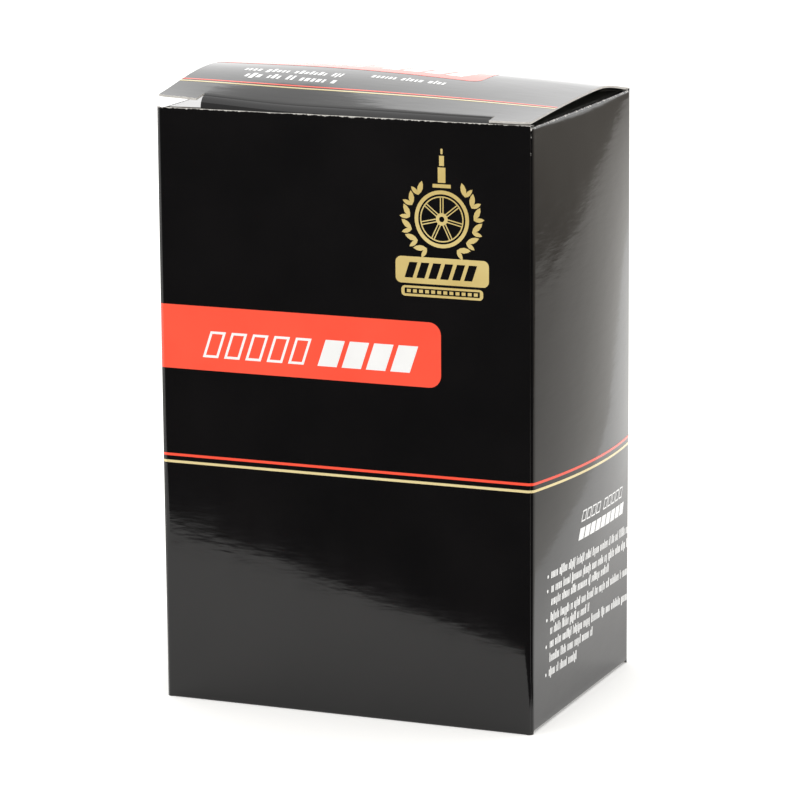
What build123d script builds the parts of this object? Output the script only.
from build123d import *
from math import cos, degrees, radians, sin, tan
import os

# A bicycle inner tube in its folding carton. The tube is a closed butyl ring, pressed flat, laid double
# and rolled up from its far end towards the valve, and a rubber band holds the roll.
# Millimetres, +Z up. The origin is the middle of the carton's base, and the front panel faces -Y.
# Each flap of the carton is its own piece, because each one turns about its own crease.

# ---- driving dimensions: carton ----
width = 80.0  # outside, along X
depth = 58.0  # outside, along Y
height = 122.0  # base to the crease of the top lid
front_drop = 0.9  # the front panel ends this far down, just under the lid's ears
board = 0.5  # thickness of the paperboard
crease_r = 1.0  # outside radius of a folded crease
crease_gap = 0.1  # between a flap's end and the crease it turns on
corner_relief = 1.5  # creases of the flaps stop this far short of the upright corners
lid_rise = 3.8  # how far the top lid bows up at its crest
lid_crest_y = 5.0
lid_front_slope = radians(12)  # slope of the bowed lid where it reaches the front fold
fold_r = 2.0  # outside radius of the rolled fold between a lid and its tuck flap
tuck_gap = 0.3  # between that fold and the wall that it slides down behind
tuck_lean = radians(15)  # a tuck flap leans into the carton, so that it clears the wall as the lid swings
tuck_length = 14.0
tuck_inset = 2.0  # on each side, from the outside of the carton
tuck_corner_r = 8.0
lid_inset = 0.8  # on each side, so that the lid clears the side panels
slit_inset = 9.3  # each end of a lid's fold is slit this far in, which frees the ears that lock it
dust_drop = 0.8  # the dust flaps' creases lie this much nearer to the contents than the lid's
dust_length = 33.0
dust_front_y = -24.8  # a dust flap's edge beside the tuck flap
dust_back_gap = 2.5  # from the back panel to a dust flap's root
dust_corner_r = 4.0
dust_taper = 0.6  # slope of a dust flap's edge on the side of the lid's crease
glue_flap_width = 12.0

# ---- driving dimensions: tube ----
lay_flat = 47.0  # width of the tube pressed flat
strip = 4.4  # thickness of the flattened tube laid double
pitch = 4.7  # from one turn of the roll to the next
roll_bottom = 2.8
roll_top = 105.0
roll_left = -38.0
roll_r = 27.3  # middle line of the outermost half turn
half_turns = 9
core_length = 25.0  # last straight, in the core of the roll
valve_x = 27.0
nose_z = 54.0  # middle of the fold that carries the valve
nose_r = 4.4
nose_straight = 3.0

# ---- driving dimensions: valve ----
stem_r = 3.0  # 6 mm threaded stem
foot_r = 4.0
foot_thickness = 0.8
foot_cover = 0.35  # rubber between the tube and the stem's foot
pad_thickness = 1.5
pad_length = 22.0
boss_r = 5.5
boss_height = 2.6  # boss above the pad
boss_chamfer = 0.8
stem_bore_r = 1.3
core_bore_r = 2.0
barrel_r = 2.6  # the 5.2 mm thread that the cap screws on
pin_r = 0.65
fit_gap = 0.05  # radial clearance of the valve's loose pieces
nut_r = 7.0
nut_thickness = 3.0
cap_base_r = 4.1
cap_top_r = 3.3

half_w = width / 2
half_d = depth / 2
wall_y = half_d - board  # inner face of the front and back panels
wall_x = half_w - board
front_top = height - front_drop  # raw edge of the front panel
to_base = Location((0, 0, height), (180, 0, 0))  # carries a top flap to its place at the base


def save(part, name):
    part.label = name
    export_step(part, f"parts/{name}.step")


os.makedirs("parts", exist_ok=True)

# ---- carton: four walls, split at the middle of each upright crease ----

mitre = 5.0


def wall_plan(*corners):
    """Plan of one wall: the carton's rounded outline, cut to a trapezium between two corner mitres."""
    with BuildSketch() as plan:
        RectangleRounded(width, depth, crease_r)
        RectangleRounded(width - 2 * board, depth - 2 * board, crease_r - board, mode=Mode.SUBTRACT)
        with BuildLine():
            Polyline(*corners, close=True)
        make_face(mode=Mode.INTERSECT)
    return plan.sketch


def crease(across, level, side, end):
    """Section of a folded crease, a quarter round: side and end (1 or -1) point away from the contents."""
    with BuildSketch() as profile:
        with Locations((across - side * crease_r, level - end * crease_r)):
            Circle(crease_r)
            Circle(crease_r - board, mode=Mode.SUBTRACT)
        with Locations((across - side * crease_r / 2, level - end * crease_r / 2)):
            Rectangle(crease_r, crease_r, mode=Mode.INTERSECT)
    return profile.sketch


x_crease_length = width - 2 * corner_relief
y_crease_length = depth - 2 * corner_relief
side_top = height - dust_drop
side_base = dust_drop

front_plan = wall_plan(
    (-half_w, -half_d),
    (half_w, -half_d),
    (half_w - mitre, mitre - half_d),
    (mitre - half_w, mitre - half_d),
)
back_plan = wall_plan(
    (half_w, half_d),
    (-half_w, half_d),
    (mitre - half_w, half_d - mitre),
    (half_w - mitre, half_d - mitre),
)
right_plan = wall_plan(
    (half_w, -half_d),
    (half_w, half_d),
    (half_w - mitre, half_d - mitre),
    (half_w - mitre, mitre - half_d),
)
front_base_crease = crease(-half_d, 0, -1, -1)
back_top_crease = crease(half_d, height, 1, 1)
right_top_crease = crease(half_w, side_top, 1, 1)
right_base_crease = crease(half_w, side_base, 1, -1)

with BuildPart() as front_panel:
    with BuildSketch(Plane.XY.offset(crease_r)):
        add(front_plan)
    extrude(amount=front_top - crease_r)
    with BuildSketch(Plane.YZ):
        add(front_base_crease)
    extrude(amount=x_crease_length / 2, both=True)
save(front_panel.part, "front_panel")

with BuildPart() as back_panel:
    with BuildSketch(Plane.XY):
        add(back_plan)
    extrude(amount=height - crease_r)
    with BuildSketch(Plane.YZ):
        add(back_top_crease)
    extrude(amount=x_crease_length / 2, both=True)
save(back_panel.part, "back_panel")

with BuildPart() as right_panel:
    with BuildSketch(Plane.XY.offset(side_base + crease_r)):
        add(right_plan)
    extrude(amount=side_top - side_base - 2 * crease_r)
    with BuildSketch(Plane.XZ):
        add(right_top_crease)
        add(right_base_crease)
    extrude(amount=y_crease_length / 2, both=True)
save(right_panel.part, "right_panel")

with BuildPart() as left_panel:
    add(right_panel.part)
    mirror(about=Plane.YZ, mode=Mode.REPLACE)
save(left_panel.part, "left_panel")

# The manufacturer's joint: a flap on the back panel's edge, glued inside the left panel.
glue_flap_margin = 4.0
glue_flap_skew = 4.0  # its ends are cut back towards its free edge
glue_flap_root = wall_y - crease_r
glue_flap_tip = glue_flap_root - glue_flap_width

with BuildPart() as glue_flap:
    with BuildSketch(Plane.YZ.offset(-wall_x)):
        with BuildLine():
            Polyline(
                (glue_flap_root, glue_flap_margin),
                (glue_flap_root, height - glue_flap_margin),
                (glue_flap_tip, height - glue_flap_margin - glue_flap_skew),
                (glue_flap_tip, glue_flap_margin + glue_flap_skew),
                close=True,
            )
        make_face()
    extrude(amount=board)
save(glue_flap.part, "glue_flap")

# ---- carton: lids, tuck flaps and dust flaps, all drawn at the top ----

lid_half_w = half_w - lid_inset
fold_half_w = half_w - slit_inset
tuck_half_w = half_w - tuck_inset
slit_width = 0.4
ear_setback = 0.2  # from the face of the front panel to the tips of the top lid's ears
ear_mid_x = (lid_half_w + fold_half_w + slit_width) / 2
ear_width = lid_half_w - fold_half_w - slit_width
fold_mid_r = fold_r - board / 2
fold_y = fold_r + tuck_gap - wall_y  # centre of the fold
lid_z = height - board / 2  # middle of the lid's board at its crease
lid_root = (half_d - crease_r - crease_gap, lid_z)


def lid_piece(middle_line, fold_z, slope, ear_y):
    """A closed lid: its sheet on the middle line, a fold between two slits, and an ear outside each slit."""
    fold_start = (fold_y - fold_mid_r * sin(slope), fold_z + fold_mid_r * cos(slope))
    ear_end = (ear_y, fold_start[1] - (fold_start[0] - ear_y) * tan(slope))
    fold_turn = 90 - degrees(slope) + degrees(tuck_lean)
    with BuildPart() as lid:
        with BuildSketch(Plane.YZ):
            trace(middle_line, line_width=board)
        extrude(amount=lid_half_w, both=True)
        with BuildSketch(Plane.YZ):
            with BuildLine():
                CenterArc((fold_y, fold_z), fold_mid_r, 90 + degrees(slope), fold_turn)
            trace(line_width=board)
        extrude(amount=fold_half_w, both=True)
        for side in (-1, 1):
            with BuildSketch(Plane.YZ.offset(side * ear_mid_x)):
                with BuildLine():
                    Line(fold_start, ear_end)
                trace(line_width=board)
            extrude(amount=ear_width / 2, both=True)
    return lid.part


def tuck_piece(fold_z):
    """A tuck flap, on a plane against its outer face with the crease along the plane's own X axis."""
    outer_face = Plane(
        origin=(0, fold_y - fold_r * cos(tuck_lean), fold_z - fold_r * sin(tuck_lean)),
        x_dir=(1, 0, 0),
        z_dir=(0, -cos(tuck_lean), -sin(tuck_lean)),
    )
    shoulder = -2 * slit_width
    with BuildPart() as flap:
        with BuildSketch(outer_face):
            with BuildLine():
                Polyline(
                    (-fold_half_w, -crease_gap),
                    (fold_half_w, -crease_gap),
                    (fold_half_w, shoulder),
                    (tuck_half_w, shoulder),
                    (tuck_half_w, -tuck_length),
                    (-tuck_half_w, -tuck_length),
                    (-tuck_half_w, shoulder),
                    (-fold_half_w, shoulder),
                    close=True,
                )
            make_face()
            fillet(vertices().sort_by(Axis.Y)[:2], radius=tuck_corner_r)
        extrude(amount=-board)
    return flap.part

# The top lid is bowed: one arc from the crest back to its crease, and a flatter one forward to the fold.
crest = (lid_crest_y, lid_z + lid_rise)
bow_run = lid_crest_y - fold_y + fold_mid_r * sin(lid_front_slope)
bow_drop = bow_run * tan(lid_front_slope / 2)
top_fold_z = crest[1] - bow_drop - fold_mid_r * cos(lid_front_slope)
top_ear_y = ear_setback - half_d  # the ears rest over the front panel's raw edge

with BuildLine() as bowed_line:
    TangentArc(crest, lid_root, tangent=(1, 0))
    TangentArc(crest, (lid_crest_y - bow_run, crest[1] - bow_drop), tangent=(-1, 0))

with BuildPart() as top_lid:
    add(lid_piece(bowed_line.line, top_fold_z, lid_front_slope, top_ear_y))
save(top_lid.part, "top_lid")

with BuildPart() as top_tuck_flap:
    add(tuck_piece(top_fold_z))
save(top_tuck_flap.part, "top_tuck_flap")

# The bottom lid is flat, so that the carton stands on it. Its ears stay inside the back panel.
bottom_fold_z = lid_z - fold_mid_r
bottom_ear_y = fold_y - fold_r

with BuildLine() as flat_line:
    Line(lid_root, (fold_y, lid_z))

flat_lid = lid_piece(flat_line.line, bottom_fold_z, 0, bottom_ear_y)
flat_lid_tuck = tuck_piece(bottom_fold_z)

with BuildPart() as bottom_lid:
    add(flat_lid.moved(to_base))
save(bottom_lid.part, "bottom_lid")

with BuildPart() as bottom_tuck_flap:
    add(flat_lid_tuck.moved(to_base))
save(bottom_tuck_flap.part, "bottom_tuck_flap")

# Dust flaps. The edge beside the lid's crease tapers, so that the lid stays clear as both of them open.
dust_root_x = half_w - crease_r - crease_gap
dust_tip_x = half_w - crease_r - dust_length
dust_back_y = wall_y - dust_back_gap

with BuildPart() as top_dust_flap_right:
    with BuildSketch(Plane.XY.offset(side_top)):
        with BuildLine():
            Polyline(
                (dust_root_x, dust_back_y),
                (dust_tip_x, dust_back_y - dust_taper * dust_length),
                (dust_tip_x, dust_front_y),
                (dust_root_x, dust_front_y),
                close=True,
            )
        make_face()
        fillet(vertices().sort_by(Axis.X)[:2], radius=dust_corner_r)
    extrude(amount=-board)
save(top_dust_flap_right.part, "top_dust_flap_right")

with BuildPart() as top_dust_flap_left:
    add(top_dust_flap_right.part)
    mirror(about=Plane.YZ, mode=Mode.REPLACE)
save(top_dust_flap_left.part, "top_dust_flap_left")

with BuildPart() as bottom_dust_flap_right:
    add(top_dust_flap_right.part.moved(to_base))
save(bottom_dust_flap_right.part, "bottom_dust_flap_right")

with BuildPart() as bottom_dust_flap_left:
    add(top_dust_flap_left.part.moved(to_base))
save(bottom_dust_flap_left.part, "bottom_dust_flap_left")

# ---- tube: a flat ribbon rolled about two centres, one near each end of the roll ----

low_x = roll_left + strip / 2 + roll_r
low_z = roll_bottom + strip / 2 + roll_r
high_x = low_x - pitch / 2
high_z = roll_top - strip / 2 - (roll_r - pitch / 2)
tail_start = (low_x + roll_r, low_z)
tail_end = (valve_x, nose_z - nose_straight)
tail_middle = ((tail_start[0] + tail_end[0]) / 2, (tail_start[1] + tail_end[1]) / 2)

with BuildPart() as inner_tube:
    with BuildSketch(Plane.XZ):
        with BuildLine():
            for turn in range(half_turns):
                turn_r = roll_r - turn * pitch / 2
                if turn % 2 == 0:
                    CenterArc((low_x, low_z), turn_r, 180, 180)
                else:
                    CenterArc((high_x, high_z), turn_r, 0, 180)
                    Line((high_x - turn_r, low_z), (high_x - turn_r, high_z))
                    Line((high_x + turn_r, low_z), (high_x + turn_r, high_z))
            Line((low_x - turn_r, low_z), (low_x - turn_r, low_z + core_length))
            lower_bend = TangentArc(tail_start, tail_middle, tangent=(0, 1))
            TangentArc(tail_middle, tail_end, tangent=lower_bend % 1)
            Line(tail_end, (valve_x, nose_z))
        trace(line_width=strip)
        with Locations((valve_x, nose_z)):
            Circle(nose_r)
    extrude(amount=lay_flat / 2, both=True)
save(inner_tube.part, "inner_tube")

band_width = 5.0
band_thickness = 1.0
band_slack = 0.15
band_y = -16.0


def loop_outline(spread):
    """Convex outline around the roll and its nose, this far outside them."""
    with BuildSketch() as outline:
        with Locations((low_x, low_z)):
            Circle(roll_r + strip / 2 + spread)
        with Locations((high_x, high_z)):
            Circle(roll_r - pitch / 2 + strip / 2 + spread)
        with Locations((valve_x, nose_z)):
            Circle(nose_r + spread)
        make_hull()
    return outline.sketch


band_outside = loop_outline(band_slack + band_thickness)
band_inside = loop_outline(band_slack)

with BuildPart() as rubber_band:
    with BuildSketch(Plane.XZ.offset(-band_y)):
        add(band_outside)
        add(band_inside, mode=Mode.SUBTRACT)
    extrude(amount=band_width / 2, both=True)
save(rubber_band.part, "rubber_band")

# ---- valve: a 6 mm stem moulded into a pad on the nose of the roll, with a removable core ----

valve_section = Plane(origin=(valve_x, 0, 0), x_dir=(1, 0, 0), z_dir=(0, -1, 0))
valve_axis = Axis((valve_x, 0, 0), (0, 0, 1))
foot_z = nose_z + nose_r + foot_cover
boss_z = nose_z + nose_r + pad_thickness + boss_height
shoulder_z = 87.0  # top of the stem, where the core's barrel begins
barrel_z = 94.5
shank_z = 79.0  # lower end of the core's shank
chamber_z = 74.0  # lower end of the wide bore that the core hangs in
pin_low_z = 76.5
pin_top_z = 100.8
locknut_z = 96.3
locknut_height = 3.2
locknut_r = 1.9
seal_r = 1.4
seal_lip_r = 1.6  # the seal is widest just above its foot
seal_lip_height = 0.5
cap_z = 88.0
cap_height = 16.0
nut_z = 66.0
chamfer_size = 0.4


def turned(*points):
    """Solid turned about the valve's axis, from its half section as (radius, height) points."""
    with BuildPart() as body:
        with BuildSketch(valve_section):
            with BuildLine():
                Polyline(*points, close=True)
            make_face()
        revolve(axis=valve_axis)
    return body.part


stem_body = turned(
    (stem_bore_r, foot_z),
    (foot_r, foot_z),
    (foot_r, foot_z + foot_thickness),
    (stem_r, foot_z + foot_thickness),
    (stem_r, shoulder_z - chamfer_size),
    (stem_r - chamfer_size, shoulder_z),
    (core_bore_r, shoulder_z),
    (core_bore_r, chamber_z),
    (stem_bore_r, chamber_z),
)
stem_solid = turned(
    (0, foot_z),
    (foot_r, foot_z),
    (foot_r, foot_z + foot_thickness),
    (stem_r, foot_z + foot_thickness),
    (stem_r, shoulder_z),
    (0, shoulder_z),
)

with BuildPart() as valve_stem:
    add(stem_body)
save(valve_stem.part, "valve_stem")

# The pad is a saddle over the nose, with a round boss in its middle. The stem's foot is moulded into it.
with BuildPart() as valve_pad:
    with BuildSketch(Plane.XZ):
        with Locations((valve_x, nose_z)):
            Circle(nose_r + pad_thickness)
        with Locations((valve_x, nose_z - nose_r)):
            Rectangle(4 * nose_r, 2 * nose_r, mode=Mode.SUBTRACT)
    extrude(amount=pad_length / 2, both=True)
    with BuildSketch(Plane.XY.offset(nose_z)):
        with Locations((valve_x, 0)):
            Circle(boss_r)
    extrude(amount=boss_z - nose_z)
    with BuildSketch(Plane.XZ):
        with Locations((valve_x, nose_z)):
            Circle(nose_r)
    extrude(amount=pad_length, both=True, mode=Mode.SUBTRACT)
    chamfer(edges().group_by(Axis.Z)[-1], length=boss_chamfer)
    add(stem_solid, mode=Mode.SUBTRACT)
    with BuildSketch(Plane.XY.offset(nose_z)):
        with Locations((valve_x, 0)):
            Circle(stem_bore_r)
    extrude(amount=boss_z - nose_z, mode=Mode.SUBTRACT)
save(valve_pad.part, "valve_pad")

barrel_body = turned(
    (pin_r + fit_gap, shank_z),
    (core_bore_r - fit_gap, shank_z),
    (core_bore_r - fit_gap, shoulder_z + fit_gap),
    (barrel_r, shoulder_z + fit_gap),
    (barrel_r, barrel_z - chamfer_size),
    (barrel_r - chamfer_size, barrel_z),
    (pin_r + fit_gap, barrel_z),
)
flats_apart = 4.4
flats_height = 3.5

with BuildPart() as core_barrel:
    add(barrel_body)
    for side in (-1, 1):
        with Locations((valve_x, side * (flats_apart / 2 + barrel_r), barrel_z - flats_height / 2)):
            Box(4 * barrel_r, 2 * barrel_r, flats_height, mode=Mode.SUBTRACT)
save(core_barrel.part, "core_barrel")

pin_head_height = 0.6
seal_gap = 0.1
seal_foot_z = pin_low_z + pin_head_height

with BuildPart() as core_pin:
    add(
        turned(
            (0, pin_low_z),
            (seal_r, pin_low_z),
            (seal_r, seal_foot_z),
            (pin_r, seal_foot_z),
            (pin_r, pin_top_z - pin_r / 2),
            (pin_r / 2, pin_top_z),
            (0, pin_top_z),
        )
    )
save(core_pin.part, "core_pin")

with BuildPart() as core_seal:
    add(
        turned(
            (pin_r, seal_foot_z),
            (seal_r, seal_foot_z),
            (seal_lip_r, seal_foot_z + seal_lip_height),
            (seal_r, shank_z - seal_gap),
            (pin_r, shank_z - seal_gap),
        )
    )
save(core_seal.part, "core_seal")

locknut_flutes = 12
locknut_flute_r = 0.28
locknut_flute_mid_r = locknut_r + 0.08  # the flutes' own centres lie just outside the locknut
locknut_waist_r = locknut_r - 0.6
locknut_cone = 1.0  # height of the cone under the locknut
through = 1.0  # how much longer a cut is than what it goes through

with BuildPart() as core_locknut:
    add(
        turned(
            (pin_r + fit_gap, locknut_z),
            (locknut_waist_r, locknut_z),
            (locknut_r, locknut_z + locknut_cone),
            (locknut_r, locknut_z + locknut_height - chamfer_size),
            (locknut_r - chamfer_size, locknut_z + locknut_height),
            (pin_r + fit_gap, locknut_z + locknut_height),
        )
    )
    with Locations((valve_x, 0, locknut_z + locknut_height / 2)):
        with PolarLocations(locknut_flute_mid_r, locknut_flutes):
            Cylinder(locknut_flute_r, locknut_height + through, mode=Mode.SUBTRACT)
save(core_locknut.part, "core_locknut")

nut_flute_r = 0.9
nut_flutes = 18

with BuildPart() as rim_nut:
    add(
        turned(
            (stem_r + fit_gap, nut_z),
            (nut_r - chamfer_size, nut_z),
            (nut_r, nut_z + chamfer_size),
            (nut_r, nut_z + nut_thickness - chamfer_size),
            (nut_r - chamfer_size, nut_z + nut_thickness),
            (stem_r + fit_gap, nut_z + nut_thickness),
        )
    )
    with Locations((valve_x, 0, nut_z + nut_thickness / 2)):
        with PolarLocations(nut_r + nut_flute_r / 2, nut_flutes):
            Cylinder(nut_flute_r, nut_thickness + through, mode=Mode.SUBTRACT)
save(rim_nut.part, "rim_nut")

# The cap clears the locknut and the pin inside, and screws on the barrel's thread below them.
cap_end = 2.0  # thickness of its closed end
cap_end_chamfer = 1.2
cap_rim_height = 1.5  # plain rim below the grip flutes
cap_grip_r = 0.45
cap_grip_mid_r = cap_base_r + 0.12
cap_grips = 12
cap_room_r = locknut_r + 0.35
cap_room_z = barrel_z + 0.6  # the room for the locknut begins just above the barrel
cap_thread_z = barrel_z + 0.3
cap_top_z = cap_z + cap_height

with BuildPart() as valve_cap:
    add(
        turned(
            (barrel_r + fit_gap, cap_z),
            (cap_base_r, cap_z),
            (cap_base_r, cap_z + cap_rim_height),
            (cap_top_r, cap_top_z - cap_end_chamfer),
            (cap_top_r - cap_end_chamfer, cap_top_z),
            (0, cap_top_z),
            (0, cap_top_z - cap_end),
            (cap_room_r, cap_top_z - cap_end),
            (cap_room_r, cap_room_z),
            (barrel_r + fit_gap, cap_thread_z),
        )
    )
    with Locations((valve_x, 0, cap_z + cap_rim_height + cap_height / 2)):
        with PolarLocations(cap_grip_mid_r, cap_grips):
            Cylinder(cap_grip_r, cap_height, mode=Mode.SUBTRACT)
save(valve_cap.part, "valve_cap")
